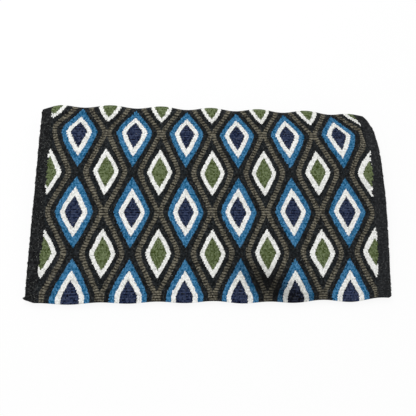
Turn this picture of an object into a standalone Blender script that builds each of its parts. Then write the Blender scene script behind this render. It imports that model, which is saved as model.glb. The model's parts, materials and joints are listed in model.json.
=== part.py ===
# Woven wool saddle blanket, folded once and lying flat, with its fold at the back (+Y).
# The blanket is built opened flat, in cloth coordinates: x runs along the warps, which lie
# parallel to the fold, and s runs from the lower leaf's free edge to the upper leaf's.
# The fold is a chain of ribs of two warps, each hinged to the next, so it bends as the cloth does.
import math

import bmesh
import bpy
from mathutils import Matrix, Vector

for old in list(bpy.data.objects):
    bpy.data.objects.remove(old, do_unlink=True)

# The whole blanket, opened flat: 34 by 40 inches
WIDTH = 0.864
LENGTH = 1.016
THICKNESS = 0.0065

# The fold: each rib is a pair of warps with their weft packed round them
RIB_PITCH = 0.0098
FOLD_RIBS = 6
RIB_CROWN = 0.0060
LEAF_GAP = 0.0010

# Borders: a plain band past the pattern at each warp end, and a doubled edge warp at each free edge
END_BAND = 0.027
SELVEDGE = 0.0042
SELVEDGE_FLAT = 0.0012
EDGE_ROUND = 0.0026
EDGE_ARC_STEPS = 4
CORNER_ROUND = 0.0040

# The pattern: blue nests in staggered rows with green ones, half a green nest at either end band
BLUE_COLUMNS = 6
HALF_NEST_INSET = 0.0048
ROW_PITCH = 0.2040
FIRST_ROW_INSET = 0.0165
BELLY_POWER = 1.3
LOZENGE_STEPS = 3

# The brown chains round the green nests: two strands that cross on each blue row
STRAND_WIDTH = 0.0132
CROSSING_OFFSET = 0.0064
NECK_OFFSET = 0.0185
NECK_ROUND = 0.0020
LEAN_REACH_SHARE = 0.864
STRAND_HEIGHT_SHARES = (0.0, 0.50, 0.72, 0.86, 1.0)
CHAIN_DEPTH = 0.0022

# How far each yarn's ring stands inside the one round it, across the cloth and at its tips
BLUE_OUTLINE = 0.0102
BLUE_RING = 0.0130
WHITE_RING = 0.0120
BLACK_NECK = 0.0300
BLUE_TIP = 0.0270
WHITE_TIP = 0.0235
GREEN_OUTLINE = 0.0096
PALE_RING = 0.0118
CROSSING_GAP = 0.0395
PALE_TIP = 0.0225

# The lower leaf's coloured areas
PAD_RISE = 0.0004
SMALLEST_SHOWING = 0.0200

# Fits
CLEARANCE = 0.0003
OVERRUN = 0.0100

COLOURS = {
    "black_wool": (0.012, 0.013, 0.014),
    "brown_wool": (0.085, 0.070, 0.048),
    "blue_wool": (0.035, 0.150, 0.320),
    "white_wool": (0.780, 0.780, 0.740),
    "navy_wool": (0.017, 0.022, 0.075),
    "green_wool": (0.100, 0.140, 0.055),
}
WOOL_ROUGHNESS = 0.92

LEAF_LENGTH = (LENGTH - FOLD_RIBS * RIB_PITCH) / 2
HALF_FIELD = WIDTH / 2 - END_BAND
COLUMN_PITCH = 2 * (HALF_FIELD - HALF_NEST_INSET) / BLUE_COLUMNS
HALF_COLUMN = COLUMN_PITCH / 2
HALF_ROW = ROW_PITCH / 2
STRAND_LEAN = (HALF_COLUMN - CROSSING_OFFSET - NECK_OFFSET) / (LEAN_REACH_SHARE * HALF_ROW)
JOINT_COUNT = FOLD_RIBS + 1
BLANKET = bpy.context.scene.collection


def material(name):
    """One wool finish, made the first time that it is asked for."""
    finish = bpy.data.materials.get(name)
    if finish is None:
        finish = bpy.data.materials.new(name)
        finish.use_nodes = True
        shader = finish.node_tree.nodes["Principled BSDF"]
        shader.inputs["Base Color"].default_value = (*COLOURS[name], 1.0)
        shader.inputs["Roughness"].default_value = WOOL_ROUGHNESS
        shader.inputs["Metallic"].default_value = 0.0
    return finish


def add_object(name, mesh, finishes, parent):
    """A named piece in the place of its parent."""
    for finish in finishes:
        mesh.materials.append(material(finish))
    piece = bpy.data.objects.new(name, mesh)
    BLANKET.objects.link(piece)
    piece.parent = parent
    return piece


def finish_mesh(name, shape):
    """Face the shape outwards, and hand it over as a mesh."""
    bmesh.ops.recalc_face_normals(shape, faces=shape.faces[:])
    mesh = bpy.data.meshes.new(name)
    shape.to_mesh(mesh)
    shape.free()
    return mesh


def add_prism(shape, outline, low, high, finish=0):
    """A closed prism of a flat outline, added to a shape."""
    bottom = [shape.verts.new((x, y, low)) for x, y in outline]
    top = [shape.verts.new((x, y, high)) for x, y in outline]
    count = len(outline)
    faces = [shape.faces.new(top), shape.faces.new(bottom[::-1])]
    for i in range(count):
        j = (i + 1) % count
        faces.append(shape.faces.new((bottom[i], bottom[j], top[j], top[i])))
    for face in faces:
        face.material_index = finish


def ring_sizes(half_width, half_height, steps):
    """Each ring of a nest as half its width, half its height and its yarn, from the outside in."""
    rings = []
    for across, along, finish in steps:
        half_width -= across
        half_height -= along
        rings.append((half_width, half_height, finish))
    return rings


BLUE_NEST = ring_sizes(HALF_COLUMN - CROSSING_OFFSET - STRAND_WIDTH / 2, HALF_ROW, (
    (BLUE_OUTLINE, BLACK_NECK / 2, "blue_wool"),
    (BLUE_RING, BLUE_TIP, "white_wool"),
    (WHITE_RING, WHITE_TIP, "navy_wool")))
GREEN_NEST = ring_sizes(HALF_COLUMN - NECK_OFFSET - STRAND_WIDTH / 2, HALF_ROW, (
    (GREEN_OUTLINE, CROSSING_GAP, "white_wool"),
    (PALE_RING, PALE_TIP, "green_wool")))


# Pattern places, in cloth coordinates
def blue_row(row):
    """Where a row of blue nests has its centres, counted from the upper leaf's free edge."""
    return LENGTH - FIRST_ROW_INSET - row * ROW_PITCH


def green_row(row):
    return blue_row(row) - HALF_ROW


def blue_column(column):
    return (column - (BLUE_COLUMNS - 1) / 2) * COLUMN_PITCH


def green_column(column):
    return (column - BLUE_COLUMNS / 2) * COLUMN_PITCH


def rows_in(place_of_row, reach, start, end):
    """The rows whose nests reach into a stretch of the cloth, free edge first."""
    row_count = math.ceil(LENGTH / ROW_PITCH) + 1
    return [row for row in range(row_count)
            if place_of_row(row) + reach > start + SMALLEST_SHOWING
            and place_of_row(row) - reach < end - SMALLEST_SHOWING]


def lozenge(half_width, half_height, x, s, grow=0.0):
    """A lozenge with slightly bellied sides, grown outwards by the given margin."""
    lean = half_height / half_width
    wide = half_width + grow * math.hypot(1.0, 1.0 / lean)
    tall = half_height + grow * math.hypot(1.0, lean)
    quarter = []
    for step in range(LOZENGE_STEPS):
        height_share = step / LOZENGE_STEPS
        quarter.append((wide * (1 - height_share ** BELLY_POWER), tall * height_share))
    right = quarter + [(0.0, tall)]
    upper = right + [(-px, py) for px, py in reversed(quarter)]
    lower = [(px, -py) for px, py in reversed(upper[1:-1])]
    return [(x + px, s + py) for px, py in upper + lower]


def strand_offset(from_row):
    """How far a strand's middle lies from the blue column, at a height above or below the blue row."""
    leaning = STRAND_LEAN * (LEAN_REACH_SHARE * HALF_ROW - from_row)
    return NECK_OFFSET + (leaning + math.hypot(leaning, 2 * NECK_ROUND)) / 2


def strand(column_x, side, start, end, grow=0.0):
    """The outline of one brown strand beside a blue column, from start to end of the cloth."""
    heights = set()
    for row in range(math.ceil(LENGTH / ROW_PITCH) + 2):
        for share in STRAND_HEIGHT_SHARES:
            heights.add(round(blue_row(row) + share * HALF_ROW, 7))
            heights.add(round(blue_row(row) - share * HALF_ROW, 7))
    heights = [start] + sorted(h for h in heights if start < h < end) + [end]
    half_width = STRAND_WIDTH / 2 + grow * math.hypot(1.0, STRAND_LEAN)
    middle = []
    for height in heights:
        from_row = (height - blue_row(0)) % ROW_PITCH
        from_row = min(from_row, ROW_PITCH - from_row)
        middle.append((column_x + side * strand_offset(from_row), height))
    inner = [(x - half_width, s) for x, s in middle]
    outer = [(x + half_width, s) for x, s in middle]
    return inner + outer[::-1]


def chain_strands(column, start, end, grow=0.0):
    """The one or two strands that loop round a green column."""
    outlines = []
    if column > 0:
        outlines.append(strand(blue_column(column - 1), 1, start, end, grow))
    if column < BLUE_COLUMNS:
        outlines.append(strand(blue_column(column), -1, start, end, grow))
    return outlines


def modifier(piece, operation, other):
    """An exact Boolean with a cutter that isn't itself part of the blanket."""
    cut = piece.modifiers.new(other.name, "BOOLEAN")
    cut.solver = "EXACT"
    cut.operation = operation
    cut.material_mode = "TRANSFER"
    cut.object = other
    other.hide_render = True
    other.display_type = "WIRE"


# Placement of the two leaves and the ribs
def fold_chain(slope):
    """The hinge lines of the fold, from the lower leaf up and over, for a slope of the upper leaf."""
    turn = (math.pi + slope) / JOINT_COUNT
    y, z, angle = LEAF_LENGTH, THICKNESS / 2, 0.0
    places = [(y, z)]
    for _ in range(FOLD_RIBS):
        angle += turn
        y += RIB_PITCH * math.cos(angle)
        z += RIB_PITCH * math.sin(angle)
        places.append((y, z))
    return turn, places


def leaf_slope():
    """The slope at which the upper leaf comes down onto the lower leaf's free edge."""
    slope = 0.0
    resting = 1.5 * THICKNESS + LEAF_GAP
    for _ in range(40):
        _, places = fold_chain(slope)
        drop = places[-1][1] - resting
        slope = math.asin(drop / LEAF_LENGTH)
    return slope


SLOPE = leaf_slope()
TURN, HINGE_LINES = fold_chain(SLOPE)
END_SETBACK = THICKNESS / 2 * math.tan(TURN / 2) + CLEARANCE


def rib_profile():
    """Half of a packed rib's outline, from its widest point at the warp up to its flat crown."""
    half_waist = (RIB_PITCH - CLEARANCE) / 2
    half_crown = RIB_CROWN / 2
    points = []
    for step in range(EDGE_ARC_STEPS):
        angle = math.pi / 2 * step / (EDGE_ARC_STEPS - 1)
        across = half_crown + (half_waist - half_crown) * math.cos(angle)
        points.append((across, THICKNESS / 2 * math.sin(angle)))
    return points


def full_profile(quarter):
    """A closed outline from the quarter that runs from its widest point to its top."""
    upper = quarter + [(-a, b) for a, b in reversed(quarter)]
    lower = [(a, -b) for a, b in reversed(upper[1:-1])]
    return upper + lower


def bar_mesh(name, profile, start_x, end_x, tip=0.0):
    """A profile in y and z run along x, its two ends drawn in round the middle over the tip length."""
    shape = bmesh.new()
    rings = []
    drawn_share = 1 - tip / THICKNESS
    for x, share in ((start_x, drawn_share), (start_x + tip, 1), (end_x - tip, 1), (end_x, drawn_share)):
        if tip == 0.0 and share != 1:
            continue
        rings.append([shape.verts.new((x, y * share, z * share)) for y, z in profile])
    if tip == 0.0:
        rings = [rings[0], rings[-1]]
    count = len(profile)
    for first, second in zip(rings, rings[1:]):
        for i in range(count):
            j = (i + 1) % count
            shape.faces.new((first[i], second[i], second[j], first[j]))
    shape.faces.new(rings[0])
    shape.faces.new(rings[-1][::-1])
    return finish_mesh(name, shape)


def add_nest_faces(shape, rings, x, s, low, high):
    """A nest of lozenges as one plug, each yarn's colour on its own ring of faces."""
    for z in (low, high):
        loops = []
        for half_width, half_height, _ in rings:
            outline = lozenge(half_width, half_height, x, s)
            loops.append([shape.verts.new((px, ps, z)) for px, ps in outline])
        count = len(loops[0])
        for ring, (outer, inner) in enumerate(zip(loops, loops[1:])):
            for i in range(count):
                j = (i + 1) % count
                shape.faces.new((outer[i], outer[j], inner[j], inner[i])).material_index = ring
        shape.faces.new(loops[-1]).material_index = len(rings) - 1
        if z == low:
            floor_loop = loops[0]
    for i in range(count):
        j = (i + 1) % count
        shape.faces.new((floor_loop[i], floor_loop[j], loops[0][j], loops[0][i])).material_index = 0


def clip(shape, window):
    """Cut a shape off square at the four sides of a leaf's woven field."""
    west, east, start, end = window
    cuts = (((west, start, 0), (-1, 0, 0)), ((east, start, 0), (1, 0, 0)),
            ((west, start, 0), (0, -1, 0)), ((west, end, 0), (0, 1, 0)))
    for place, outwards in cuts:
        geometry = shape.verts[:] + shape.edges[:] + shape.faces[:]
        bmesh.ops.bisect_plane(shape, geom=geometry, dist=CLEARANCE / 1000, plane_co=place,
                               plane_no=outwards, clear_outer=True)
        rim = [edge for edge in shape.edges if edge.is_boundary]
        bmesh.ops.holes_fill(shape, edges=rim)


def nest_places(start, end):
    """Each nest of a stretch of the cloth: its colour, row, column, rings and centre."""
    places = []
    for row in rows_in(blue_row, BLUE_NEST[0][1], start, end):
        for column in range(BLUE_COLUMNS):
            places.append(("blue", row, column, BLUE_NEST, blue_column(column), blue_row(row)))
    for row in rows_in(green_row, GREEN_NEST[0][1], start, end):
        for column in range(BLUE_COLUMNS + 1):
            places.append(("green", row, column, GREEN_NEST, green_column(column), green_row(row)))
    return places


def shifted(shape, origin_s):
    """Move a shape from cloth coordinates to its leaf's own, which start at origin_s."""
    bmesh.ops.translate(shape, vec=Vector((0.0, -origin_s, 0.0)), verts=shape.verts[:])
    return shape


def prisms(name, outlines, low, high, finishes, parent, origin_s):
    """One object of separate prisms, each outline with its own finish."""
    shape = bmesh.new()
    for outline, finish in outlines:
        add_prism(shape, outline, low, high, finishes.index(finish))
    mesh = finish_mesh(name, shifted(shape, origin_s))
    return add_object(name, mesh, finishes, parent)


def half_round(inner, outer, steps=EDGE_ARC_STEPS):
    """A band's section in x and z: square at the pattern, rounded at the outer edge."""
    direction = 1 if outer > inner else -1
    middle = outer - direction * EDGE_ROUND
    arc = []
    for step in range(2 * steps + 1):
        angle = math.pi / 2 - math.pi * step / (2 * steps)
        arc.append((middle + direction * EDGE_ROUND * math.cos(angle), THICKNESS / 2 * math.sin(angle)))
    return [(inner, -THICKNESS / 2), (inner, THICKNESS / 2)] + arc


def end_band(name, side, start, end, parent, origin_s):
    """The plain black band past the pattern, its outer edge the turn of the weft round the last warps."""
    section = half_round(side * (HALF_FIELD + CLEARANCE / 2), side * WIDTH / 2)
    shape = bmesh.new()
    near = [shape.verts.new((x, start, z)) for x, z in section]
    far = [shape.verts.new((x, end, z)) for x, z in section]
    count = len(section)
    for i in range(count):
        j = (i + 1) % count
        shape.faces.new((near[i], near[j], far[j], far[i]))
    shape.faces.new(near)
    shape.faces.new(far[::-1])
    piece = add_object(name, finish_mesh(name, shifted(shape, origin_s)), ["black_wool"], parent)
    smooth(piece)


def smooth(piece):
    """Round pieces are shaded smooth, with their real corners kept sharp."""
    piece.data.shade_smooth()
    piece.data.set_sharp_from_angle(angle=math.radians(35))


def selvedge(name, edge_s, inwards, parent, origin_s):
    """The doubled edge warp under the weft's turns, along a free edge from corner to corner."""
    half_waist, half_crown = SELVEDGE / 2, SELVEDGE_FLAT / 2
    quarter = []
    for step in range(EDGE_ARC_STEPS):
        angle = math.pi / 2 * step / (EDGE_ARC_STEPS - 1)
        across = half_crown + (half_waist - half_crown) * math.cos(angle)
        quarter.append((across, THICKNESS / 2 * math.sin(angle)))
    mesh = bar_mesh(name, full_profile(quarter), -WIDTH / 2, WIDTH / 2, CORNER_ROUND)
    mesh.transform(Matrix.Translation((0.0, edge_s + inwards * half_waist - origin_s, 0.0)))
    smooth(add_object(name, mesh, ["black_wool"], parent))


def add_leaf_edges(prefix, start, end, free_edge, inwards, parent, origin_s):
    """The two end bands and the free edge of one leaf."""
    selvedge_line = free_edge + inwards * (SELVEDGE + CLEARANCE)
    low, high = min(selvedge_line, start, end), max(selvedge_line, start, end)
    low = max(low, start)
    high = min(high, end)
    end_band(prefix + "_left_end_band", -1, low, high, parent, origin_s)
    end_band(prefix + "_right_end_band", 1, low, high, parent, origin_s)
    selvedge(prefix + "_selvedge_cord", free_edge, inwards, parent, origin_s)


def field_slab(name, window, parent, origin_s):
    """The black ground of a leaf, before the coloured areas are let into it."""
    west, east, start, end = window
    outline = [(west, start), (east, start), (east, end), (west, end)]
    return prisms(name, [(outline, "black_wool")], -THICKNESS / 2, THICKNESS / 2, ["black_wool"], parent, origin_s)


def strand_outlines(side, start, end, grow=0.0):
    """All the strands on one side of their blue columns, which never touch each other."""
    return [(strand(blue_column(column), side, start, end, grow), "brown_wool") for column in range(BLUE_COLUMNS)]


def add_upper_leaf(parent):
    """The leaf that shows: black ground with every nest woven through and the chains let into its face."""
    origin_s = LENGTH - LEAF_LENGTH
    start, end = origin_s + END_SETBACK, LENGTH - SELVEDGE - CLEARANCE
    half_width = HALF_FIELD - CLEARANCE / 2
    window = (-half_width, half_width, start, end)
    face, back = -THICKNESS / 2, THICKNESS / 2
    add_leaf_edges("upper", start, end, LENGTH, -1, parent, origin_s)

    ground = field_slab("upper_ground", window, parent, origin_s)
    places = nest_places(start, end)
    holes = [(lozenge(rings[0][0], rings[0][1], x, s, CLEARANCE), "black_wool") for _, _, _, rings, x, s in places]
    cutter = prisms("nest_holes", holes, face - OVERRUN, back + OVERRUN, ["black_wool"], parent, origin_s)
    modifier(ground, "DIFFERENCE", cutter)
    for side, label in ((-1, "left"), (1, "right")):
        grooves = strand_outlines(side, start - OVERRUN, end + OVERRUN, CLEARANCE)
        cutter = prisms(label + "_strand_grooves", grooves, face - OVERRUN, face + CHAIN_DEPTH + CLEARANCE,
                        ["brown_wool"], parent, origin_s)
        modifier(ground, "DIFFERENCE", cutter)

    for column in range(BLUE_COLUMNS + 1):
        name = f"upper_chain_{column + 1}"
        strands = chain_strands(column, start, end)
        chain = prisms(name, [(strands[0], "brown_wool")], face, face + CHAIN_DEPTH, ["brown_wool"], parent, origin_s)
        if len(strands) > 1:
            other = prisms(f"second_strand_{column + 1}", [(strands[1], "brown_wool")], face, face + CHAIN_DEPTH,
                           ["brown_wool"], parent, origin_s)
            modifier(chain, "UNION", other)

    for colour, row, column, rings, x, s in places:
        shape = bmesh.new()
        add_nest_faces(shape, rings, x, s, face, back)
        clip(shape, window)
        name = f"upper_{colour}_nest_{row + 1}_{column + 1}"
        finishes = [finish for _, _, finish in rings]
        add_object(name, finish_mesh(name, shifted(shape, origin_s)), finishes, parent)


def add_lower_leaf(parent):
    """The leaf underneath: its coloured areas stand a little proud, as the thicker wefts do."""
    start, end = SELVEDGE + CLEARANCE, LEAF_LENGTH - END_SETBACK
    half_width = HALF_FIELD - CLEARANCE / 2
    window = (-half_width, half_width, start, end)
    low, high = 0.0, THICKNESS / 2 + PAD_RISE
    add_leaf_edges("lower", start, end, 0.0, 1, parent, 0.0)

    ground = field_slab("lower_ground", window, parent, 0.0)
    shape = bmesh.new()
    finishes = ["blue_wool", "white_wool"]
    for _, _, _, rings, x, s in nest_places(start, end):
        outline = lozenge(rings[0][0], rings[0][1], x, s)
        add_prism(shape, outline, low, high, finishes.index(rings[0][2]))
    clip(shape, window)
    pads = add_object("lower_nest_pads", finish_mesh("lower_nest_pads", shape), finishes, parent)
    modifier(ground, "UNION", pads)
    for side, label in ((-1, "left"), (1, "right")):
        strands = strand_outlines(side, start, end)
        pads = prisms(f"lower_{label}_strand_pads", strands, low, high, ["brown_wool"], parent, 0.0)
        modifier(ground, "UNION", pads)


def add_fold(parent):
    """The ribs of the fold, each one hinged on the one before; gives the last of them."""
    profile = [(y + RIB_PITCH / 2, z) for y, z in full_profile(rib_profile())]
    place = LEAF_LENGTH
    for rib in range(FOLD_RIBS):
        name = f"fold_rib_{rib + 1:02d}"
        mesh = bar_mesh(name, profile, -WIDTH / 2, WIDTH / 2)
        piece = add_object(name, mesh, ["black_wool"], parent)
        piece.location = (0.0, place, 0.0)
        piece.rotation_euler = (TURN, 0.0, 0.0)
        smooth(piece)
        parent, place = piece, RIB_PITCH
    return parent


def blanket_reach():
    """The foremost point of the two free edges and the rearmost point of the folded ribs."""
    foremost = min(0.0, HINGE_LINES[-1][0] - LEAF_LENGTH * math.cos(SLOPE))
    rearmost = 0.0
    for rib in range(FOLD_RIBS):
        y, z = HINGE_LINES[rib]
        angle = TURN * (rib + 1)
        for across, up in full_profile(rib_profile()):
            along = across + RIB_PITCH / 2
            rearmost = max(rearmost, y + along * math.cos(angle) - up * math.sin(angle))
    return foremost, rearmost


def empty(name, location, turn, parent):
    frame = bpy.data.objects.new(name, None)
    BLANKET.objects.link(frame)
    frame.location = location
    frame.rotation_euler = (turn, 0.0, 0.0)
    frame.parent = parent
    return frame


foremost, rearmost = blanket_reach()
middle = (foremost + rearmost) / 2
lower_leaf = empty("lower_leaf", (0.0, -middle, THICKNESS / 2), 0.0, None)
add_lower_leaf(lower_leaf)
last_rib = add_fold(lower_leaf)
upper_leaf = empty("upper_leaf", (0.0, RIB_PITCH, 0.0), TURN, last_rib)
add_upper_leaf(upper_leaf)

print("slope of the upper leaf, degrees", round(math.degrees(SLOPE), 4))
print("turn at each hinge, degrees", round(math.degrees(TURN), 4))
print("depth over the fold", round(rearmost - foremost, 6))
for number, (hinge_y, hinge_z) in enumerate(HINGE_LINES, 1):
    print("hinge", number, round(hinge_y - middle, 7), round(hinge_z, 7))
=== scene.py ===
import json
import math

import bpy
from mathutils import Matrix, Vector

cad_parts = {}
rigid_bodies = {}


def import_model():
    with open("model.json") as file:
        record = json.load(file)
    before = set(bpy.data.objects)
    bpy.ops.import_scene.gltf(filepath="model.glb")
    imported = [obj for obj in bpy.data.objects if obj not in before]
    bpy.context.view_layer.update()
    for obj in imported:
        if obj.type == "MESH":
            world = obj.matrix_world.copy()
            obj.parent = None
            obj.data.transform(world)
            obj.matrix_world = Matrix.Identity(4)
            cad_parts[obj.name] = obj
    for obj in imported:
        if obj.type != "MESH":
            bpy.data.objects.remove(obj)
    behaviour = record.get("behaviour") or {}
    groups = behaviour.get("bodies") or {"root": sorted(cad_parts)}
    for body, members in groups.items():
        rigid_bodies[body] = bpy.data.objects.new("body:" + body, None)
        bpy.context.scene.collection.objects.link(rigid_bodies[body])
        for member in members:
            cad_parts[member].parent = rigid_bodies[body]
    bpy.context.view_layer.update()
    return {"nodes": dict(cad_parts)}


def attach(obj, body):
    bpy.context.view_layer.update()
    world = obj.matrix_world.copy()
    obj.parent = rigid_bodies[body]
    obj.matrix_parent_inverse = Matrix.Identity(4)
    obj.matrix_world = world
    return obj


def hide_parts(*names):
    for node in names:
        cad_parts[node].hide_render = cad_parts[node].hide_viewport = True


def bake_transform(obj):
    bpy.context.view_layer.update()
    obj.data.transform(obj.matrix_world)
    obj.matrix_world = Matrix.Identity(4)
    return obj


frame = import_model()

for old in list(bpy.data.objects):
    if old.type in {"CAMERA", "LIGHT"}:
        bpy.data.objects.remove(old)


# Lower leaf.
# The half of the blanket that lies on the floor: one thick weft-faced cloth of wool, its warps
# running along x with the weft packed down round them, so that every warp shows as a low rib.
WIDTH = 0.864
LENGTH = 1.016
THICKNESS = 0.0065
HINGE_PITCH = 0.0098
HINGES = 7
TURN = math.radians(26.3088)
LEAF_LENGTH = (LENGTH - (HINGES - 1) * HINGE_PITCH) / 2
FRONT_Y = -0.2488846
FLOOR_GAP = 0.0002

WARP_PITCH = HINGE_PITCH / 3
WARP_RISE = 0.00060
WARP_ROWS = 4
CLOTH_COLUMNS = 72
CLOTH_LEVELS = 4
EDGE_ROUND = 0.0026
EDGE_SWEEP = math.radians(60)
EDGE_LOOP = 0.0018
EDGE_GROOVE = 0.0006
OTHER_EDGE = 500.0
JUST_OVER = 0.001
SHARP_FROM = math.radians(60)

BEND_START = LEAF_LENGTH - HINGE_PITCH / 2
BEND_END = BEND_START + HINGES * HINGE_PITCH
BEND_TURN = HINGES * TURN
BEND_RADIUS = HINGE_PITCH / 2 / math.tan(TURN / 2)
COLUMN_PITCH = 0.1334

# How the folded cloth lies, in places across it (x) and along it (s). A climb is where it starts,
# where it is complete and by how much. A hill is its middle, its reach and its height. A spot is
# the middle and reach of both its hills, across and along, and its height.
CREST, CREST_REACH = 0.517, 0.034
COLUMN_HUMP, LEFT_HUMP, LEAST_HUMP = 0.0034, 0.0010, -0.0005
COLUMN_FULLNESS, LEFT_FULLNESS, LEAST_FULLNESS = 0.0040, 0.0030, -0.0016
FULL_FROM = (-0.420, -0.370)
CORNERS_FALL = ((0.365, 0.425, 0.0040), (-0.385, -0.430, 0.0045))
SINKING, SINKING_REACH = 0.56, 0.05
SINKS = ((0.12, 0.34, 0.0040), (0.290, 0.400, 0.0085), (-0.405, -0.440, 0.0040))
RIGHT_FROM = (-0.30, 0.30)
UNEVENNESS = 0.0016
WAIST, WAIST_REACH = 0.515, 0.055
WAIST_LEFT, WAIST_RIGHT = 0.031, 0.026
WAIST_LEFT_MOST = -0.2
WAIST_LEFT_END = (-0.43, -0.33)
SPLAY_ACROSS, SPLAY_ALONG = (-0.30, -0.43), (0.55, 1.0)
SPLAY, LEAST_SPLAY = -0.0040, -0.0010
SIDES_OUT = ((0.20, 0.44, 0.74, 0.17, 0.0100), (0.370, 0.432, 0.566, 0.025, 0.0062),
             (-0.415, -0.432, LENGTH - 0.007, 0.006, -0.0045))
WANDERINGS = ((0.25, 0.16, 1.000, 0.060, -0.0042), (-0.13, 0.09, 0.594, 0.060, 0.0034),
              (0.28, 0.12, 0.594, 0.060, -0.0020), (-0.34, 0.05, 0.797, 0.060, -0.0034),
              (-0.20, 0.05, 0.797, 0.060, 0.0038), (0.067, 0.05, 0.797, 0.060, -0.0032),
              (-0.27, 0.05, 0.696, 0.060, 0.0024), (0.27, 0.05, 0.696, 0.060, 0.0036),
              (-0.27, 0.05, 0.898, 0.060, 0.0028), (0.27, 0.05, 0.898, 0.060, 0.0024),
              (0.385, 0.035, 0.696, 0.060, -0.0034))
FRONT_BACK, CORNER_BACK = LENGTH - 0.05, LENGTH - 0.02
SCALLOP, RIGHT_SCALLOP = 0.0035, 0.0020
FRONT_CLIMBS = ((0.33, 0.44, 0.0060),)
FRONT_HILLS = ((-0.36, 0.09, -0.0018), (0.13, 0.08, -0.0028))
CORNER_CLIMBS = ((-0.408, -0.436, 0.0085), (0.424, 0.434, 0.0040))
LOWER_BACK, LOWER_BACK_FROM = 0.0120, 0.09

# Each kind of unevenness: the layer that keeps it apart from the others, its scale and its detail
CREST_NOISE = (0.0, 5.0, 1.0)
HAND_NOISE = (0.4, 7.0, 1.0)
WAVE_NOISE = (0.8, 6.0, 1.0)


class Figure:
    """A figure worked out in nodes, written down as on paper."""

    def __init__(self, tree, socket):
        self.tree, self.socket = tree, socket

    def worked(self, operation, *others):
        node = self.tree.nodes.new("ShaderNodeMath")
        node.operation = operation
        for place, value in enumerate((self, *others)):
            if isinstance(value, Figure):
                self.tree.links.new(value.socket, node.inputs[place])
            else:
                node.inputs[place].default_value = value
        return Figure(self.tree, node.outputs[0])

    def __neg__(self):
        return self.worked("MULTIPLY", -1.0)

    def __add__(self, other):
        return self.worked("ADD", other)

    __radd__ = __add__

    def __sub__(self, other):
        return self.worked("SUBTRACT", other)

    def __rsub__(self, other):
        return -self + other

    def __mul__(self, other):
        return self.worked("MULTIPLY", other)

    def __truediv__(self, other):
        return self.worked("DIVIDE", other)

    def __pow__(self, other):
        return self.worked("POWER", other)

    def below(self, other):
        return self.worked("LESS_THAN", other)

    def above(self, other):
        return self.worked("GREATER_THAN", other)

    def least(self, other):
        return self.worked("MINIMUM", other)

    def most(self, other):
        return self.worked("MAXIMUM", other)

    def within(self, far):
        return self.most(-far).least(far)

    def floor(self):
        return self.worked("FLOOR")

    def share(self):
        return self.worked("FRACT")

    def size(self):
        return self.worked("ABSOLUTE")

    def sign(self):
        return self.worked("SIGN")

    def root(self):
        return self.worked("SQRT")

    def sin(self):
        return self.worked("SINE")

    def cos(self):
        return self.worked("COSINE")

    def fading(self):
        """One where the figure is nought, and less and less as it grows."""
        return (-self).worked("EXPONENT")

    def hill(self, middle, reach):
        """One at the middle, falling smoothly away on both sides."""
        away = (self - middle) / reach
        return (away * away).fading()

    def climb(self, start, end):
        """Nought before the start, one after the end, and smooth between them."""
        node = self.tree.nodes.new("ShaderNodeMapRange")
        node.interpolation_type = "SMOOTHSTEP"
        self.tree.links.new(self.socket, node.inputs["Value"])
        node.inputs["From Min"].default_value = start
        node.inputs["From Max"].default_value = end
        return Figure(self.tree, node.outputs["Result"])


def climbs(figure, rows):
    """Several climbs of one figure, added up."""
    return sum(figure.climb(start, end) * amount for start, end, amount in rows)


def hills(figure, rows):
    """Several hills of one figure, added up."""
    return sum(figure.hill(middle, reach) * amount for middle, reach, amount in rows)


def spots(x, s, rows):
    """Several soft spots of the cloth, added up."""
    return sum(x.hill(at_x, reach_x) * s.hill(at_s, reach_s) * amount
               for at_x, reach_x, at_s, reach_s, amount in rows)


def joined(tree, x, y, z=0.0):
    """Three figures as one vector socket."""
    node = tree.nodes.new("ShaderNodeCombineXYZ")
    for place, value in enumerate((x, y, z)):
        if isinstance(value, Figure):
            tree.links.new(value.socket, node.inputs[place])
        else:
            node.inputs[place].default_value = value
    return node.outputs[0]


def parted(tree, socket):
    """The three figures of a vector socket."""
    node = tree.nodes.new("ShaderNodeSeparateXYZ")
    tree.links.new(socket, node.inputs[0])
    return [Figure(tree, output) for output in node.outputs]


def wool_noise(tree, vector, scale, detail=1.0):
    """Smooth unevenness from nought to one at a place."""
    node = tree.nodes.new("ShaderNodeTexNoise")
    node.noise_dimensions = "3D"
    tree.links.new(vector, node.inputs["Vector"])
    node.inputs["Scale"].default_value = scale
    node.inputs["Detail"].default_value = detail
    return Figure(tree, node.outputs[0])


def cloth_noise(x, s, kind):
    """Unevenness of one kind at a place of the cloth."""
    layer, scale, detail = kind
    return wool_noise(x.tree, joined(x.tree, x, s, layer), scale, detail)


def random_of(tree, first, second=None):
    """A fixed random figure from nought to one for each whole number, or pair of them."""
    node = tree.nodes.new("ShaderNodeTexWhiteNoise")
    node.noise_dimensions = "1D" if second is None else "2D"
    if second is None:
        tree.links.new(first.socket, node.inputs["W"])
    else:
        tree.links.new(joined(tree, first, second), node.inputs["Vector"])
    return Figure(tree, node.outputs["Value"])


def away_from_warp(s):
    """How far a place is from the crest of its warp, from nought on it to one in the groove."""
    along = ((s - BEND_START) / WARP_PITCH).share()
    return (along - 0.5).size() * 2.0


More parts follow.
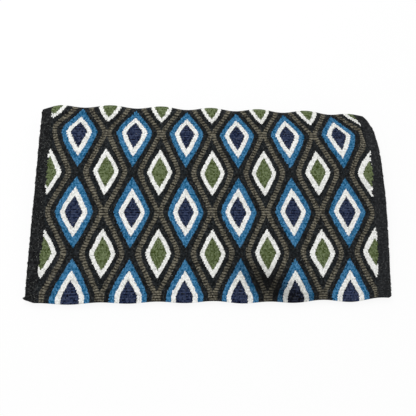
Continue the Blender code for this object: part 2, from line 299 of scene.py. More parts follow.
def laid_place(tree, x, s, height):
    """Where a place of the cloth lies: on the lower leaf, round the fold or down the upper leaf."""
    column_wave = (x * (2 * math.pi / COLUMN_PITCH)).cos() * 0.5 + 0.5
    to_right = x.climb(*RIGHT_FROM)
    to_left = 1.0 - to_right
    folded = s.climb(BEND_START, BEND_END)

    # Out from the cloth's middle, away from the inside of the fold
    outer_share = 0.5 - height / THICKNESS
    hump = column_wave * COLUMN_HUMP + to_left * LEFT_HUMP + LEAST_HUMP
    fullness = outer_share * (to_left * LEFT_FULLNESS * x.climb(*FULL_FROM)
                              + column_wave * COLUMN_FULLNESS + LEAST_FULLNESS)
    unevenness = (cloth_noise(x, s, CREST_NOISE) - 0.5) * folded * UNEVENNESS
    raised = (hump + fullness - climbs(x, CORNERS_FALL)) * s.hill(CREST, CREST_REACH)
    outwards = height - raised - unevenness + climbs(x, SINKS) * s.hill(SINKING, SINKING_REACH)

    # Across, where the fold is drawn in to a waist and the leaf spreads again in front of it
    waist = x.most(WAIST_LEFT_MOST) * WAIST_LEFT * x.climb(*WAIST_LEFT_END)
    waist = waist + x.most(0.0) * WAIST_RIGHT
    splayed = x.climb(*SPLAY_ACROSS) * (s.climb(*SPLAY_ALONG) * SPLAY + LEAST_SPLAY)
    sides_out = sum(x.climb(start, end) * s.hill(at_s, reach) * amount
                    for start, end, at_s, reach, amount in SIDES_OUT)
    hand = (cloth_noise(x, s, HAND_NOISE) - 0.5) * UNEVENNESS
    hand = hand + spots(x, s, WANDERINGS)
    across = x + (splayed + sides_out) * folded - waist * s.hill(WAIST, WAIST_REACH) + hand

    # Backwards, at the upper leaf's wavy free edge and its corners, and at the lower leaf's edge
    wavy = column_wave * (to_right * RIGHT_SCALLOP + SCALLOP)
    wavy = wavy + climbs(x, FRONT_CLIMBS) + hills(x, FRONT_HILLS)
    backwards = s.climb(FRONT_BACK, LENGTH) * wavy
    backwards = backwards + s.climb(CORNER_BACK, LENGTH) * climbs(x, CORNER_CLIMBS)
    backwards = backwards + s.climb(LOWER_BACK_FROM, 0.0) * LOWER_BACK
    wave = (cloth_noise(x, s, WAVE_NOISE) - 0.5) * folded * UNEVENNESS + backwards

    # Along: straight to the fold, round it, and straight back past it
    into_bend = s.most(BEND_START).least(BEND_END) - BEND_START
    turned = into_bend * (BEND_TURN / (BEND_END - BEND_START))
    past = (s - BEND_END).most(0.0)
    y = s.least(BEND_START) + turned.sin() * BEND_RADIUS + past * turned.cos() + FRONT_Y
    z = (1.0 - turned.cos()) * BEND_RADIUS + past * turned.sin() + THICKNESS / 2
    y = y - turned.sin() * outwards + wave
    z = (z + turned.cos() * outwards).most(FLOOR_GAP)
    return joined(tree, across, y, z)


def new_tree(name, sizes):
    """A node tree for a modifier, with its named sizes; gives the tree and where they come in."""
    tree = bpy.data.node_groups.new(name, "GeometryNodeTree")
    tree.is_modifier = True
    tree.interface.new_socket("Geometry", in_out="INPUT", socket_type="NodeSocketGeometry")
    tree.interface.new_socket("Geometry", in_out="OUTPUT", socket_type="NodeSocketGeometry")
    for label, kind in sizes:
        tree.interface.new_socket(label, in_out="INPUT", socket_type=kind)
    given = tree.nodes.new("NodeGroupInput")
    return tree, given


def chained(tree, socket, kind, links=None, **settings):
    """The next step of a tree's geometry; gives the socket that comes out of it."""
    node = tree.nodes.new(kind)
    for name, value in settings.items():
        setattr(node, name, value)
    tree.links.new(socket, node.inputs[0])
    for name, value in (links or {}).items():
        if isinstance(value, Figure):
            value = value.socket
        if isinstance(value, bpy.types.NodeSocket):
            tree.links.new(value, node.inputs[name])
        else:
            node.inputs[name].default_value = value
    return node.outputs[0]


def ended(tree, given, socket):
    """Close a tree: real geometry only, then its finish."""
    socket = chained(tree, socket, "GeometryNodeRealizeInstances")
    socket = chained(tree, socket, "GeometryNodeSetMaterial", {"Material": given.outputs["Finish"]})
    out = tree.nodes.new("NodeGroupOutput")
    tree.links.new(socket, out.inputs[0])
    return tree


def on_cloth(tree, given, socket, pattern_place, laid):
    """Keep each point's place in the pattern, lay it where the cloth lies, and close the tree."""
    socket = chained(tree, socket, "GeometryNodeStoreNamedAttribute",
                     {"Name": "cloth", "Value": pattern_place},
                     data_type="FLOAT_VECTOR", domain="POINT")
    socket = chained(tree, socket, "GeometryNodeSetPosition", {"Position": laid})
    socket = chained(tree, socket, "GeometryNodeSetShadeSmooth")
    return ended(tree, given, socket)


def made(name, tree, sizes):
    """Run a tree with its sizes on an empty mesh, and keep the result as a plain mesh."""
    holder = bpy.data.objects.new(name, bpy.data.meshes.new(name))
    bpy.context.scene.collection.objects.link(holder)
    modifier = holder.modifiers.new(tree.name, "NODES")
    modifier.node_group = tree
    for item in tree.interface.items_tree:
        if item.in_out == "INPUT" and item.name in sizes:
            modifier[item.identifier] = sizes[item.name]
    bpy.context.view_layer.update()
    evaluated = holder.evaluated_get(bpy.context.evaluated_depsgraph_get())
    mesh = bpy.data.meshes.new_from_object(evaluated)
    holder.modifiers.clear()
    holder.data = mesh
    mesh.name = name
    mesh.set_sharp_from_angle(angle=SHARP_FROM)
    return holder


def cloth_tree():
    """A stretch of the cloth from one place of its length to another, closed and with every rib."""
    tree, given = new_tree("stretch_of_cloth", (
        ("Start", "NodeSocketFloat"), ("Stop", "NodeSocketFloat"), ("Rows", "NodeSocketInt"),
        ("Columns", "NodeSocketInt"), ("Finish", "NodeSocketMaterial")))
    slab = tree.nodes.new("GeometryNodeMeshCube")
    slab.inputs["Vertices Z"].default_value = CLOTH_LEVELS
    tree.links.new(given.outputs["Columns"], slab.inputs["Vertices X"])
    tree.links.new(given.outputs["Rows"], slab.inputs["Vertices Y"])
    place = tree.nodes.new("GeometryNodeInputPosition")
    px, py, pz = parted(tree, place.outputs[0])
    start, stop = (Figure(tree, given.outputs[label]) for label in ("Start", "Stop"))

    s = start + (py + 0.5) * (stop - start)
    groove = away_from_warp(s)
    groove = groove * groove
    level = pz * 2.0
    out_share = px.size() * 2.0
    inner_share = (out_share / (1 - 2 / CLOTH_COLUMNS)).least(1.0)
    at_edge = out_share.above(1 - 1 / CLOTH_COLUMNS)
    pair = ((s - BEND_START) / (WARP_PITCH * 2) + JUST_OVER).floor() + px.sign() * OTHER_EDGE
    loop = (1.0 - groove) * random_of(tree, pair) * EDGE_LOOP - groove * EDGE_GROOVE
    swept = (level * EDGE_SWEEP).cos() * EDGE_ROUND + loop
    half_width = inner_share * (WIDTH / 2 - EDGE_ROUND) + at_edge * swept
    x = px.sign() * half_width
    fullness = level + at_edge * ((level * EDGE_SWEEP).sin() - level)
    height = fullness * (THICKNESS / 2 - groove * WARP_RISE)
    return on_cloth(tree, given, slab.outputs["Mesh"], joined(tree, x, s),
                    laid_place(tree, x, s, height))


# Yarns of black, brown, blue, white, navy and green wool, the nests that they make, and how far
# a weaver's hand strays from the even pattern
FLOAT_WIDTH = 0.0030
ROW_PITCH = 0.2030
FIRST_ROW = LENGTH - 0.0165
LAST_ROW = FIRST_ROW - ROW_PITCH * 5
CHAINED_PITCHES = 3
BELLY_POWER = 1.22
HALF_FIELD = 0.4022
FIELD_MIDDLE = -0.0030
RAGGEDNESS = 0.0050
FIELD_OUT_RIGHT = ((0.690, 0.030, 0.0080), (0.880, 0.050, 0.0042))
FIELD_OUT_LEFT = ((0.850, 0.040, 0.0055),)

STRAND_WIDTH = 0.0122
STRAND_SHIFT = 0.0002
STRAND_LEAN = 0.51
NECK_OFFSET = 0.0185
NECK_ROUND = 0.0025
CROSSING_OFFSET = 0.0044
TURN_REACH = 0.016
TICK_SHARE = 0.60
TICK_LEAN = STRAND_LEAN * 0.55
TICK_REACH = 0.01
TICK_WANDER = 0.8

BLACK_WOOL = (0.0058, 0.0077, 0.0091)
BAND_WOOL = (0.0063, 0.0071, 0.0077)
LIGHTER_RIGHT_BAND = (0.0130, 0.0142, 0.0158)
BROWN_WOOL = (0.122, 0.112, 0.083)
BROWN_SHADE = (0.0230, 0.0210, 0.0155)
BLUE_WOOL = (0.030, 0.148, 0.292)
NAVY_WOOL = (0.014, 0.023, 0.058)
WHITE_WOOL = (0.830, 0.835, 0.800)
GREEN_WOOL = (0.098, 0.128, 0.052)

# Each ring: which nest it is part of, half its width and height, its yarn, and how it slips
NESTS = (("blue", (0.0440, 0.0884), BLUE_WOOL, ()),
         ("blue", (0.0316, 0.0608), WHITE_WOOL, ()),
         ("blue", (0.0202, 0.0395), NAVY_WOOL, ()),
         ("green", (0.0309, 0.0597), WHITE_WOOL, ((0.36, 0.40, -0.0022),)),
         ("green", (0.0205, 0.0408), GREEN_WOOL, ((0.15, 0.25, 0.0014), (0.36, 0.40, 0.0022))))
ENDS_FROM = (0.345, 0.400)
OVER_CREST = (0.512, 0.024)
CREST_BREADTH, END_BREADTH = 0.13, 0.07
TIP_ACROSS, TIP_ALONG = (-0.12, -0.34), (0.520, 0.030)
TIP_STRETCH = 0.09

# For each row of nests: the column, and how far its nest lies to the right and to the front
NEST_SHIFTS = {
    0.594: ((-2.5, -0.0026, -0.0002), (-1.5, 0.0012, -0.0005), (-0.5, 0.0000, 0.0033),
            (0.5, -0.0020, 0.0055), (1.5, -0.0020, 0.0033), (2.5, 0.0012, -0.0038)),
    0.696: ((-3.0, -0.0026, 0.0032), (-2.0, 0.0013, 0.0000), (-1.0, 0.0026, 0.0010),
            (0.0, 0.0010, 0.0033), (1.0, -0.0026, 0.0010), (2.0, -0.0013, -0.0038)),
    0.797: ((-2.5, -0.0005, 0.0012), (-1.5, 0.0000, 0.0027), (-0.5, 0.0006, 0.0012),
            (0.5, -0.0013, 0.0022), (1.5, 0.0006, -0.0022), (2.5, -0.0006, -0.0038)),
    0.898: ((-2.0, 0.0006, 0.0028), (-1.0, 0.0020, 0.0016), (0.0, -0.0013, 0.0022),
            (2.0, -0.0006, 0.0013), (3.0, -0.0040, -0.0043)),
    1.000: ((-2.5, 0.0010, 0.0033), (-0.5, -0.0026, 0.0022), (0.5, -0.0045, 0.0026),
            (1.5, 0.0000, 0.0022), (2.5, 0.0000, 0.0038))}
NEST_REACH = 0.050
LEANS_OUT = ((0.405, 0.030, 0.626, 0.030, -0.0085), (0.400, 0.022, 0.560, 0.022, -0.0070))
PACKED_TO_FRONT = ((0.601, 0.512, 0.0370), (0.640, 0.580, -0.0030))
ENDS_BACK = ((0.566, 0.030, 0.0105),)
SPOTS_BACK = ((-0.400, 0.030, 0.555, 0.022, 0.0040),)

# How far each cause moves the pattern's edge from where it should be
HAND_OF_WARP, HAND_OF_FLOAT, HAND_OF_PAIR = 0.0010, 0.0014, 0.0012
HAND_ACROSS, HAND_ALONG = 0.0036, 0.0060
FLUFF_ALONG, FLUFF_OVER_WARPS, FLUFF_OVER_FLOATS = 0.7, 0.50, 0.80

# Kinds of unevenness in the yarn and the weaving, each with its layer, scale and detail
FLUFF = (3.0, 900.0, 2.0)
ACROSS_NOISE = (0.0, 40.0, 1.0)
ALONG_NOISE = (2.0, 9.0, 1.0)
TICK_NOISE = (7.0, 130.0, 1.0)
FIBRES = (0.0, 2400.0, 2.0)
FIBRE_LEAN, FIBRE_ALONG = 0.35, 0.20
HEATHER = (0.0, 60.0, 2.0)
CLUMPS = (5.0, 210.0, 1.0)

# Figures added to a warp or pick, so that each random figure is a draw of its own
RAGGED_DRAW, WARP_DRAW, LIGHT_DRAW, HAIR_DRAW = 300.0, 70.0, 40.0, 90.0

# How light and dark the yarn is: how much each cause says, and how much it is calmed
FLOAT_SAYS, CLUMPS_SAY, FIBRES_SAY, HEATHER_SAYS, WARP_SAYS = 2.3, 1.7, 1.6, 0.8, 0.4
LIGHT_SAYS, NAVY_PAIR_SAYS, NAVY_FLOAT_SAYS = 0.5, 0.7, 0.4
UNEVEN_DARK, UNEVEN_PALE, CALM = 0.88, 0.76, 0.44
# The darkest the yarn may be, and the painted shade: lightness on a float's top, and how much
# darker its ends and the grooves between warps are
DARKEST, FLOAT_TOP, FLOAT_END_SHADE, GROOVE_SHADE = 0.15, 1.100, 0.30, 0.15
HAIRS, HAIRS_IN_PAINTED_SHADOW, DYED_LIFE = 0.052, 0.6, 0.060

# The painted soft shadow of a hollow in front: its place, its half length and breadth, and its
# slant, then how dark it makes dark yarn and how much less pale yarn
PAINTED_SHADOW = (0.160, 0.985)
PAINTED_SHADOW_SIZE = (0.125, 0.038)
PAINTED_SHADOW_SLANT = (0.876, 0.482)
PAINTED_SHADOW_DEPTH, PALE_PAINTED_SHADOW = 0.97, 0.58

WOOL_SURFACE = {"Roughness": 0.95, "Specular IOR Level": 0.10, "Sheen Weight": 0.05,
                "Sheen Roughness": 0.5}
BUMP_STRENGTH, BUMP_HEIGHT = 0.8, 0.0008
GROOVE_SINKS, FIBRES_RISE, TONE_RISES = 0.35, 0.50, 0.25


def dyed(tree, under, colour, where):
    """Yarn of another colour where the figure is one."""
    node = tree.nodes.new("ShaderNodeMix")
    node.data_type = "RGBA"
    tree.links.new(where.socket, node.inputs["Factor"])
    for value, socket in ((under, node.inputs[6]), (colour, node.inputs[7])):
        if isinstance(value, tuple):
            socket.default_value = (*value, 1.0)
        else:
            tree.links.new(value, socket)
    return node.outputs[2]


def mixed_in(tree, colour, value, how):
    """A colour with one figure multiplied or added into all of it."""
    node = tree.nodes.new("ShaderNodeMix")
    node.clamp_result = how == "ADD"
    node.data_type, node.blend_type = "RGBA", how
    node.inputs["Factor"].default_value = 1.0
    tree.links.new(colour, node.inputs[6])
    tree.links.new(joined(tree, value, value, value), node.inputs[7])
    return node.outputs[2]


def woven_wool():
    """The pattern, worked out float by float, so that its slopes are stepped as in real weaving."""
    finish = bpy.data.materials.new("woven_wool")
    finish.use_nodes = True
    tree = finish.node_tree
    shader = tree.nodes["Principled BSDF"]
    for label, value in WOOL_SURFACE.items():
        shader.inputs[label].default_value = value
    cloth = tree.nodes.new("ShaderNodeAttribute")
    cloth.attribute_name = "cloth"
    x, s, _ = parted(tree, cloth.outputs["Vector"])

    # The float of weft that a place is on: its warp, its pick and its own tone
    fluffy = cloth_noise(x, s * FLUFF_ALONG, FLUFF) - 0.5
    warp = ((s - BEND_START) / WARP_PITCH + fluffy * FLUFF_OVER_WARPS).floor()
    other_shed = (warp * 0.5).share() * 2.0
    along = x / FLOAT_WIDTH + other_shed * 0.5 + fluffy * FLUFF_OVER_FLOATS
    pick = along.floor()
    pair = (warp * 0.5).floor()
    pair_share = ((s - BEND_START) / (WARP_PITCH * 2)).share()
    float_s = (warp + 0.5) * WARP_PITCH + BEND_START
    tone = random_of(tree, pick, warp)

    # How far the hand strays from the even pattern, across the cloth and along it
    leaning_out = spots(x, float_s, LEANS_OUT)
    hand_x = leaning_out + (random_of(tree, warp) - 0.5) * HAND_OF_WARP
    hand_x = hand_x + (tone - 0.5) * HAND_OF_FLOAT + (pair_share - 0.5) * HAND_OF_PAIR
    hand_x = hand_x + (cloth_noise(x, float_s, ACROSS_NOISE) - 0.5) * HAND_ACROSS
    hand_s = (cloth_noise(x, float_s, ALONG_NOISE) - 0.5) * HAND_ALONG
    for row, shifts in NEST_SHIFTS.items():
        in_row = float_s.hill(row, NEST_REACH)
        for column, right, forward in shifts:
            near = x.hill(column * COLUMN_PITCH, NEST_REACH) * in_row
            hand_x = hand_x - near * right
            hand_s = hand_s + near * forward

    # The place in the pattern, from the middle of a blue column and of a row
    from_column = (((x + hand_x) / COLUMN_PITCH).share() - 0.5).size() * COLUMN_PITCH
    at_ends = (x - FIELD_MIDDLE).size().climb(*ENDS_FROM)
    towards_front = (climbs(float_s, PACKED_TO_FRONT) - hills(float_s, ENDS_BACK) * at_ends
                     - spots(x, float_s, SPOTS_BACK))
    row_s = (float_s - towards_front - hand_s).least(FIRST_ROW).most(LAST_ROW)
    row_place = (FIRST_ROW - row_s) / ROW_PITCH + 0.5
    from_row = (row_place.share() - 0.5).size() * ROW_PITCH
    at_crest = float_s.hill(*OVER_CREST)
    tip = x.climb(*TIP_ACROSS) * float_s.hill(*TIP_ALONG)
    broader = at_crest * (at_ends * END_BREADTH + CREST_BREADTH) + 1.0
    sides = {"blue": (from_column, from_row * (1.0 - tip * TIP_STRETCH)),
             "green": ((COLUMN_PITCH / 2 - from_column) * broader, ROW_PITCH / 2 - from_row)}

    # The brown strands, with a dark tick for each second warp, which leans as the strand does
    sideways = from_row * STRAND_LEAN
    crossing = (sideways * sideways + CROSSING_OFFSET ** 2).root()
    leaning = COLUMN_PITCH / 2 - NECK_OFFSET - STRAND_SHIFT - crossing
    rounded = (leaning * leaning + 4 * NECK_ROUND ** 2).root()
    strand = (leaning + rounded) * 0.5 + NECK_OFFSET
    off_strand = from_column - strand
    chained_part = x.size().below(COLUMN_PITCH * CHAINED_PITCHES)
    in_strand = off_strand.size().below(STRAND_WIDTH / 2) * chained_part
    turn_of_strand = ((row_place.share() - 0.5) * (ROW_PITCH / TURN_REACH)).within(1.0)
    tick_s = s + off_strand.within(TICK_REACH) * turn_of_strand * TICK_LEAN
    wander = (cloth_noise(x, s, TICK_NOISE) - 0.5) * TICK_WANDER
    on_crest = (((tick_s - BEND_START) / (WARP_PITCH * 2)).share() + wander).below(TICK_SHARE)
    brown = dyed(tree, BROWN_SHADE, BROWN_WOOL, on_crest)
    colour = dyed(tree, BLACK_WOOL, brown, in_strand)

    # The nests, from the outermost ring inwards
    in_colour = x * 0.0
    for kind, (half_width, half_height), wool, slips in NESTS:
        across, up = sides[kind]
        reach = (across + climbs(x, slips)) / half_width + (up / half_height) ** BELLY_POWER
        in_nest = reach.below(1.0)
        in_colour = in_colour * (1.0 - in_nest)
        if wool is not WHITE_WOOL:
            in_colour = in_nest + in_colour
        if wool is NAVY_WOOL:
            in_navy = in_nest
        colour = dyed(tree, colour, wool, in_nest)

    # The end bands, whose edge is ragged from warp to warp
    ragged = (random_of(tree, warp + RAGGED_DRAW) - 0.5) * RAGGEDNESS
    at_right = x.above(0.0)
    field_edge = at_right * hills(float_s, FIELD_OUT_RIGHT)
    field_edge = field_edge + (1.0 - at_right) * hills(float_s, FIELD_OUT_LEFT)
    in_band = ((x + leaning_out - FIELD_MIDDLE - field_edge).size() + ragged).above(HALF_FIELD)
    # The end band on the right is lighter and bluer than the one on the left
    colour = dyed(tree, colour, dyed(tree, BAND_WOOL, LIGHTER_RIGHT_BAND, at_right), in_band)

    # Uneven wool, and painted light on the warp crests: how much each cause says, and less of it
    # all on pale yarn
    fibres = cloth_noise(x + s * FIBRE_LEAN, s * FIBRE_ALONG, FIBRES)
    heather = cloth_noise(x, s, HEATHER)
    clump = cloth_noise(x, s, CLUMPS)
    of_warp = random_of(tree, warp + WARP_DRAW)
    # Painted light: the crest of each pair of warps lighter and the rest darker, by a random amount
    # for each float
    crest_light = (pair_share.below(TICK_SHARE) - 0.5) * random_of(tree, pick + LIGHT_DRAW, pair)
    uneven = crest_light * LIGHT_SAYS + sum((cause - 0.5) * says for cause, says in (
        (tone, FLOAT_SAYS), (clump, CLUMPS_SAY), (fibres, FIBRES_SAY), (heather, HEATHER_SAYS),
        (of_warp, WARP_SAYS)))
    navy_pairs = (pair_share.below(0.5) - 0.5) * NAVY_PAIR_SAYS
    uneven = uneven + in_navy * (navy_pairs + (tone - 0.5) * NAVY_FLOAT_SAYS)
    _, paleness, _ = parted(tree, colour)
    paleness = paleness.root()
    calm = (in_colour * (1.0 - in_band)).most(in_band * at_right)
    value = uneven * (UNEVEN_DARK - paleness * UNEVEN_PALE) * (1.0 - calm * CALM) + 1.0

    # Painted shade where a float goes under its neighbours, between the warps and in the hollow
    from_float = (along.share() - 0.5) * 2.0
    groove = away_from_warp(s)
    lit = FLOAT_TOP - from_float ** 6.0 * FLOAT_END_SHADE - groove ** 4.0 * GROOVE_SHADE
    value = value.most(DARKEST) * lit
    # A soft shadow painted into the colour near the front, darker on dark yarn than on pale
    from_x, from_s = x - PAINTED_SHADOW[0], s - PAINTED_SHADOW[1]
    lengthways, sidelong = PAINTED_SHADOW_SLANT
    along_shadow = (from_x * lengthways + from_s * sidelong) / PAINTED_SHADOW_SIZE[0]
    over_shadow = (from_s * lengthways - from_x * sidelong) / PAINTED_SHADOW_SIZE[1]
    in_painted_shadow = (along_shadow * along_shadow + over_shadow * over_shadow).fading()
    value = value * (1.0 - in_painted_shadow * (PAINTED_SHADOW_DEPTH - paleness * PALE_PAINTED_SHADOW))
    colour = mixed_in(tree, colour, value, "MULTIPLY")

    # Pale hairs on some floats, and more life in the dyed ones
    hairs = random_of(tree, pick + HAIR_DRAW, warp) ** 4.0 * clump * HAIRS
    # Fewer pale hairs show in the painted shadow
    hairs = hairs * (1.0 - in_painted_shadow * HAIRS_IN_PAINTED_SHADOW)
    livelier = uneven * in_colour * paleness * (1.0 - in_band) * DYED_LIFE
    colour = mixed_in(tree, colour, hairs + livelier, "ADD")
    tree.links.new(colour, shader.inputs["Base Color"])

    # Each float is round along the warp and sinks between two warps
    roundness = (1.0 - from_float * from_float).most(0.0).root()
    bulge = roundness * (1.0 - groove * groove * GROOVE_SINKS)
    bulge = bulge + fibres * FIBRES_RISE + tone * TONE_RISES
    bump = tree.nodes.new("ShaderNodeBump")
    bump.inputs["Strength"].default_value = BUMP_STRENGTH
    bump.inputs["Distance"].default_value = BUMP_HEIGHT
    tree.links.new(bulge.socket, bump.inputs["Height"])
    tree.links.new(bump.outputs[0], shader.inputs["Normal"])
    return finish


wool = woven_wool()
stretch = cloth_tree()
leaf_start = LEAF_LENGTH - WARP_PITCH * int(LEAF_LENGTH / WARP_PITCH)


def stretch_of_cloth(name, start, stop):
    """One closed stretch of the cloth between two grooves."""
    warps = round((stop - start) / WARP_PITCH)
    return made(name, stretch, {"Start": start, "Stop": stop, "Rows": warps * WARP_ROWS + 1,
                                "Columns": CLOTH_COLUMNS + 1, "Finish": wool})


def nodes_of(leaf):
    """The frame's nodes of one leaf, apart from its selvedge."""
    return [name for name in frame["nodes"] if name.startswith(leaf) and "selvedge" not in name]


lower_cloth = stretch_of_cloth("lower_cloth", leaf_start, BEND_START)
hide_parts(*nodes_of("lower_"))
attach(lower_cloth, "lower_leaf")


# Fold.
# The same cloth goes on round the fold, three warps to each rib of the frame. Each strip here
# reaches from the middle of one rib to the middle of the next, and bends between them as wool does.
fold_bodies = ["lower_leaf"] + [f"fold_rib_{rib:02d}" for rib in range(1, HINGES)] + ["upper_leaf"]
for number in range(HINGES):
    strip_start = BEND_START + number * HINGE_PITCH
    strip = stretch_of_cloth(f"fold_strip_{number + 1}", strip_start, strip_start + HINGE_PITCH)
    if number < HINGES - 1:
        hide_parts(fold_bodies[number + 1])
    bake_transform(strip)


# Upper leaf.
# The half that shows, folded over onto the lower one. It comes down from the fold to rest on it
# near the front, and carries the whole pattern: blue nests, green nests and the brown strands.
upper_cloth = stretch_of_cloth("upper_cloth", BEND_END, LENGTH - leaf_start)
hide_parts(*nodes_of("upper_"))
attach(upper_cloth, "upper_leaf")


# Selvedges.
# At each free edge the weft turns round a doubled warp, which makes a firm round edge of wool.
# The pattern's colours run round it, because it is the same weft.
SELVEDGE = 0.0046
SELVEDGE_RISE = 1.02
SELVEDGE_RING = 14
SELVEDGE_SEGMENTS = 760
SELVEDGE_TAPER = 0.0040
TAPER_SHARE = 0.75
WEFT_LEAN = 0.35
WEFT_LOW, WEFT_BULGE = 0.90, 0.14


def selvedge_tree():
    """A round edge along x, each turn of the weft a small bulge that leans as the yarn does."""
    tree, given = new_tree("selvedge", (
        ("Middle", "NodeSocketFloat"), ("Finish", "NodeSocketMaterial")))
    bar = tree.nodes.new("GeometryNodeMeshCylinder")
    bar.fill_type = "NGON"
    bar.inputs["Vertices"].default_value = SELVEDGE_RING
    bar.inputs["Side Segments"].default_value = SELVEDGE_SEGMENTS
    bar.inputs["Radius"].default_value = 1.0
    bar.inputs["Depth"].default_value = 2.0
    place = tree.nodes.new("GeometryNodeInputPosition")
    across, up, along = parted(tree, place.outputs[0])
    middle = Figure(tree, given.outputs["Middle"])
    x = along * (WIDTH / 2)
    turns = (x / FLOAT_WIDTH + up * WEFT_LEAN).share() - 0.5
    bulge = (1.0 - turns * turns * 4.0) * WEFT_BULGE + WEFT_LOW
    end = ((along.size() - 1.0) * (WIDTH / 2 / SELVEDGE_TAPER)).most(-1.0) + 1.0
    drawn = (1.0 - end * end * TAPER_SHARE).root()
    s = middle + across * bulge * drawn * (SELVEDGE / 2)
    height = up * bulge * drawn * (THICKNESS / 2 * SELVEDGE_RISE)
    return on_cloth(tree, given, bar.outputs["Mesh"], joined(tree, x, middle),
                    laid_place(tree, x, s, height))


selvedge = selvedge_tree()
lower_selvedge = made("lower_selvedge", selvedge, {"Middle": SELVEDGE / 2, "Finish": wool})
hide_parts("lower_selvedge_cord")
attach(lower_selvedge, "lower_leaf")
upper_selvedge = made("upper_selvedge", selvedge, {"Middle": LENGTH - SELVEDGE / 2, "Finish": wool})
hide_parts("upper_selvedge_cord")
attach(upper_selvedge, "upper_leaf")


# Lint.
# Short pale wool hairs and bits of fluff. They cling to the black end band on the left and, further
# apart, to the rest of the upper leaf.
HAIR_BEND = 0.0028
HAIR_SWEEP = math.radians(75)
HAIR_STEPS = 6
HAIR_RADIUS = 0.00022
HAIR_SIDES = 4
HAIR_TILT = 0.35
HAIR_SIZES = (0.35, 1.25)
HAIR_LIFT = 0.0001
LINT_ALONG = (BEND_END + 0.004, LENGTH - 0.008)
LINT_END = WIDTH / 2 - 0.004
BAND_EDGE = -0.402
FLUFF_SPOTS = 90.0
GREY, PALE_GREY, GREY_TO_PALE = (0.10, 0.11, 0.10), (0.42, 0.44, 0.40), (0.3, 0.75)


def lint_tree():
    """Short bent hairs laid on the upper leaf, between two places across it."""
    tree, given = new_tree("lint", (
        ("Hairs", "NodeSocketInt"), ("Start", "NodeSocketFloat"), ("Stop", "NodeSocketFloat"),
        ("Seed", "NodeSocketInt"), ("Finish", "NodeSocketMaterial")))

    def drawn(low, high, number):
        node = tree.nodes.new("FunctionNodeRandomValue")
        for label, value in (("Min", low), ("Max", high)):
            socket = next(socket for socket in node.inputs
                          if socket.name == label and socket.enabled and socket.type == "VALUE")
            if isinstance(value, Figure):
                tree.links.new(value.socket, socket)
            else:
                socket.default_value = value
        seed = Figure(tree, given.outputs["Seed"]) + float(number)
        tree.links.new(seed.socket, node.inputs["Seed"])
        return Figure(tree, next(socket for socket in node.outputs if socket.enabled))

    spots_of_lint = tree.nodes.new("GeometryNodePoints")
    tree.links.new(given.outputs["Hairs"], spots_of_lint.inputs["Count"])
    x = drawn(Figure(tree, given.outputs["Start"]), Figure(tree, given.outputs["Stop"]), 1)
    s = drawn(*LINT_ALONG, 2)
    face = s * 0.0 - THICKNESS / 2 + HAIR_LIFT
    socket = chained(tree, spots_of_lint.outputs[0], "GeometryNodeSetPosition",
                     {"Position": laid_place(tree, x, s, face)})
    bend = tree.nodes.new("GeometryNodeCurveArc")
    bend.inputs["Resolution"].default_value = HAIR_STEPS
    bend.inputs["Radius"].default_value = HAIR_BEND
    bend.inputs["Sweep Angle"].default_value = HAIR_SWEEP
    section = tree.nodes.new("GeometryNodeCurvePrimitiveCircle")
    section.inputs["Resolution"].default_value = HAIR_SIDES
    section.inputs["Radius"].default_value = HAIR_RADIUS
    hair = chained(tree, bend.outputs["Curve"], "GeometryNodeCurveToMesh",
                   {"Profile Curve": section.outputs["Curve"], "Fill Caps": True})
    turned = joined(tree, drawn(-HAIR_TILT, HAIR_TILT, 3), drawn(-HAIR_TILT, HAIR_TILT, 4),
                    drawn(0.0, 2 * math.pi, 5))
    size = drawn(*HAIR_SIZES, 6)
    scale = joined(tree, size, size, size)
    socket = chained(tree, socket, "GeometryNodeInstanceOnPoints",
                     {"Instance": hair, "Rotation": turned, "Scale": scale})
    return ended(tree, given, socket)


def pale_fluff():
    """Pale grey wool, a little different along each hair."""
    finish = bpy.data.materials.new("pale_fluff")
    finish.use_nodes = True
    tree = finish.node_tree
    shader = tree.nodes["Principled BSDF"]
    shader.inputs["Roughness"].default_value = 0.9
    shader.inputs["Specular IOR Level"].default_value = 0.1
    place = tree.nodes.new("ShaderNodeTexCoord")
    tone = wool_noise(tree, place.outputs["Object"], FLUFF_SPOTS)
    colour = dyed(tree, GREY, PALE_GREY, tone.climb(*GREY_TO_PALE))
    tree.links.new(colour, shader.inputs["Base Color"])
    return finish


lint = lint_tree()
fluff = pale_fluff()
for name, hairs, start, stop, seed in (("lint_on_band", 330, -LINT_END, BAND_EDGE, 11),
                                       ("lint_on_field", 420, BAND_EDGE, LINT_END, 12)):
    bits = made(name, lint, {"Hairs": hairs, "Start": start, "Stop": stop, "Seed": seed,
                             "Finish": fluff})
    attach(bits, "upper_leaf")


# Studio.
# A plain white floor that keeps a soft shadow, an even white surround and one large soft lamp,
# which stands behind the blanket to its left.
FLOOR_REACH = 6.0
PAPER = 0.95
FLOOR_LIFT = 0.88
SURROUND_LIGHT = 0.74
LAMP_PLACE = Vector((-0.7, 1.2, 1.9))
LAMP_SIZE = (1.6, 1.2)
LAMP_POWER = 22.0


def shows_itself(tree):
    """One on the rays that see the backdrop itself, and nought where it only lights the cloth."""
    rays = tree.nodes.new("ShaderNodeLightPath")
    seen = Figure(tree, rays.outputs["Is Camera Ray"])
    for other in ("Is Glossy Ray", "Is Transmission Ray"):
        seen = seen.most(Figure(tree, rays.outputs[other]))
    return seen


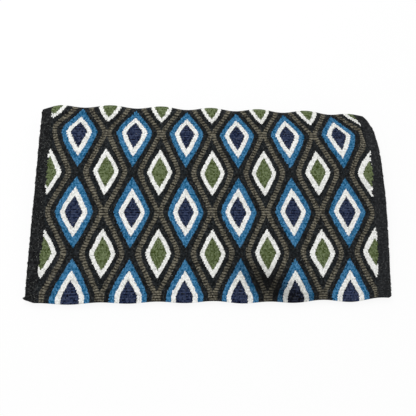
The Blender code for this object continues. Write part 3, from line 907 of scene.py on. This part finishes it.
def paper_floor():
    """Matt white paper, lifted to white for the camera, with its shadow kept."""
    finish = bpy.data.materials.new("paper_floor")
    finish.use_nodes = True
    tree = finish.node_tree
    paper = tree.nodes["Principled BSDF"]
    paper.inputs["Base Color"].default_value = (PAPER, PAPER, PAPER, 1.0)
    paper.inputs["Roughness"].default_value = 1.0
    paper.inputs["Specular IOR Level"].default_value = 0.0
    white = tree.nodes.new("ShaderNodeEmission")
    lifted = shows_itself(tree) * FLOOR_LIFT
    mixed = tree.nodes.new("ShaderNodeMixShader")
    tree.links.new(lifted.socket, mixed.inputs[0])
    tree.links.new(paper.outputs[0], mixed.inputs[1])
    tree.links.new(white.outputs[0], mixed.inputs[2])
    tree.links.new(mixed.outputs[0], tree.nodes["Material Output"].inputs["Surface"])
    return finish


floor_mesh = bpy.data.meshes.new("floor")
corners = [(-FLOOR_REACH, -FLOOR_REACH, 0), (FLOOR_REACH, -FLOOR_REACH, 0),
           (FLOOR_REACH, FLOOR_REACH, 0), (-FLOOR_REACH, FLOOR_REACH, 0)]
floor_mesh.from_pydata(corners, [], [(0, 1, 2, 3)])
floor_mesh.materials.append(paper_floor())
floor = bpy.data.objects.new("floor", floor_mesh)
bpy.context.scene.collection.objects.link(floor)

world = bpy.data.worlds.new("white_surround")
world.use_nodes = True
bpy.context.scene.world = world
surround = world.node_tree
sky = surround.nodes["Background"]
sky.inputs["Color"].default_value = (1.0, 1.0, 1.0, 1.0)
strength = shows_itself(surround) * (1.0 - SURROUND_LIGHT) + SURROUND_LIGHT
surround.links.new(strength.socket, sky.inputs["Strength"])

lamp_data = bpy.data.lights.new("softbox", "AREA")
lamp_data.shape = "RECTANGLE"
lamp_data.size, lamp_data.size_y = LAMP_SIZE
lamp_data.energy = LAMP_POWER
lamp = bpy.data.objects.new("softbox", lamp_data)
lamp.location = LAMP_PLACE
lamp.rotation_euler = (-LAMP_PLACE).to_track_quat("-Z", "Y").to_euler()
bpy.context.scene.collection.objects.link(lamp)


# Camera.
# It stands in front of the blanket and looks steeply down at it, turned a little to its left.
# Its place was fitted to the pattern's points in the photograph, with a plain lens.
EYE = Vector((-0.0763, -0.3553, 1.1024))
LOOKS_AT = Vector((-0.0094, -0.0111, 0.0))
ROLL = math.radians(10.78)
FOCAL_PIXELS = 456.3
IMAGE_SIDE = 416
SENSOR = 36.0
camera_data = bpy.data.cameras.new("camera")
camera_data.sensor_width = SENSOR
camera_data.lens = FOCAL_PIXELS * SENSOR / IMAGE_SIDE
camera = bpy.data.objects.new("camera", camera_data)
ahead = (LOOKS_AT - EYE).normalized()
level = ahead.cross(Vector((0, 0, 1))).normalized()
upright = level.cross(ahead)
right = math.cos(ROLL) * level + math.sin(ROLL) * upright
up = -math.sin(ROLL) * level + math.cos(ROLL) * upright
camera.matrix_world = Matrix.Translation(EYE) @ Matrix((right, up, -ahead)).transposed().to_4x4()
bpy.context.scene.collection.objects.link(camera)
bpy.context.scene.camera = camera
bpy.context.scene.view_settings.view_transform = "Standard"
